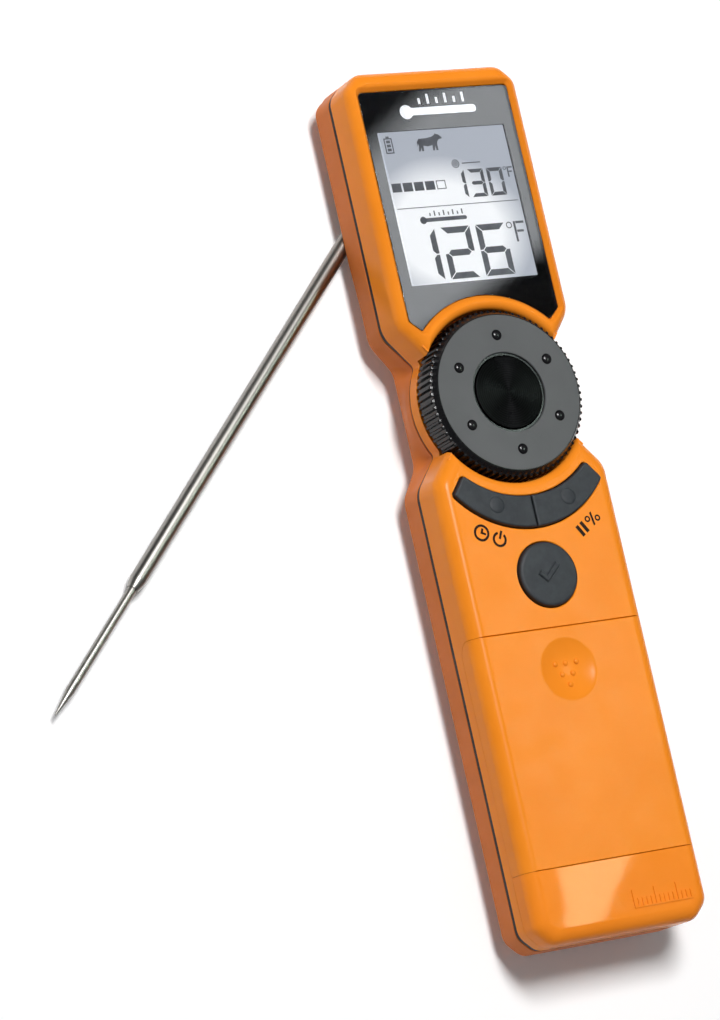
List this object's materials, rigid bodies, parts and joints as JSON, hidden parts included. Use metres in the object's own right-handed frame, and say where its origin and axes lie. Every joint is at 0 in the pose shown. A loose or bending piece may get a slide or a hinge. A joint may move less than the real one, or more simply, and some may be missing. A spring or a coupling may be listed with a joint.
{
  "type": "folding probe thermometer",
  "caption": "Hand-held digital meat thermometer with a display, a knurled dial, keys, a sliding battery cover and a steel probe that folds into the back.",
  "frame": {"origin": "on the back face under the dial axis", "axes": "+Z out of the display, +Y towards the display end, +X to the right of the display"},
  "size_m": [0.1166, 0.169, 0.0205],
  "materials": {
    "orange_shell": "satin moulded plastic",
    "gloss_cap": "polished moulded plastic",
    "seal_rubber": "matt black rubber",
    "key_rubber": "matt dark grey rubber",
    "lens_glass": "clear glossy window",
    "display": "pale blue-white display",
    "light_guide": "white light guide",
    "black_plastic": "black moulded plastic",
    "white_plastic": "white moulded plastic",
    "board": "green solder mask",
    "dial_black": "black satin",
    "dial_grey": "satin grey",
    "cap_metal": "black spun finish",
    "probe_steel": "drawn stainless steel",
    "plain_steel": "zinc plated",
    "brass": "turned",
    "cell_jacket": "plain printed jacket",
    "wire": "insulated wire"
  },
  "bodies": {
    "case": {"front_shell": "orange_shell", "rear_shell": "orange_shell", "body_gasket": "seal_rubber", "display_lens": "lens_glass", "lcd_frame": "black_plastic", "lcd_panel": "display", "backlight_panel": "light_guide", "main_board": "board", "encoder_body": "plain_steel", "encoder_bush": "brass", "dial_seal": "seal_rubber", "key_switches": "black_plastic", "buzzer": "black_plastic", "battery_tray": "black_plastic", "battery_left": "cell_jacket", "battery_right": "cell_jacket", "battery_springs": "plain_steel", "battery_contacts": "plain_steel", "case_screws": "plain_steel", "hub_washer": "plain_steel", "sensor_lead": "wire"},
    "probe": {"probe_hub": "black_plastic", "hub_cap": "orange_shell", "hub_seal": "seal_rubber", "hub_clip": "plain_steel", "probe_tube": "probe_steel", "probe_needle": "probe_steel", "sensor_bead": "wire", "probe_lead": "wire"},
    "dial": {"dial_knob": "dial_black", "dial_face": "dial_grey", "dial_rivets": "dial_black", "dial_ring": "dial_grey", "dial_cap": "cap_metal", "encoder_shaft": "plain_steel"},
    "left_button": {"left_key": "key_rubber", "left_plunger": "white_plastic"},
    "right_button": {"right_key": "key_rubber", "right_plunger": "white_plastic"},
    "enter_button": {"enter_key": "key_rubber", "enter_plunger": "white_plastic"},
    "cover": {"battery_cover": "orange_shell", "cover_end_cap": "gloss_cap"}
  },
  "joints": [
    {"name": "probe_fold", "type": "hinge", "parent": "case", "child": "probe", "pos_m": [-0.011, 0.0436, 0.0025], "axis": [0, 0, -1], "range_deg": [-44, 136]},
    {"name": "dial_turn", "type": "hinge", "parent": "case", "child": "dial", "pos_m": [0, 0, 0.0185], "axis": [0, 0, 1], "continuous": true},
    {"name": "left_press", "type": "slide", "parent": "case", "child": "left_button", "axis": [0, 0, -1], "range_m": [0, 0.0006], "stiffness_N_per_m": 2500},
    {"name": "right_press", "type": "slide", "parent": "case", "child": "right_button", "axis": [0, 0, -1], "range_m": [0, 0.0006], "stiffness_N_per_m": 2500},
    {"name": "enter_press", "type": "slide", "parent": "case", "child": "enter_button", "axis": [0, 0, -1], "range_m": [0, 0.0006], "stiffness_N_per_m": 2500},
    {"name": "cover_slide", "type": "slide", "parent": "case", "child": "cover", "axis": [0, -1, 0], "range_m": [0, 0.06]}
  ]
}
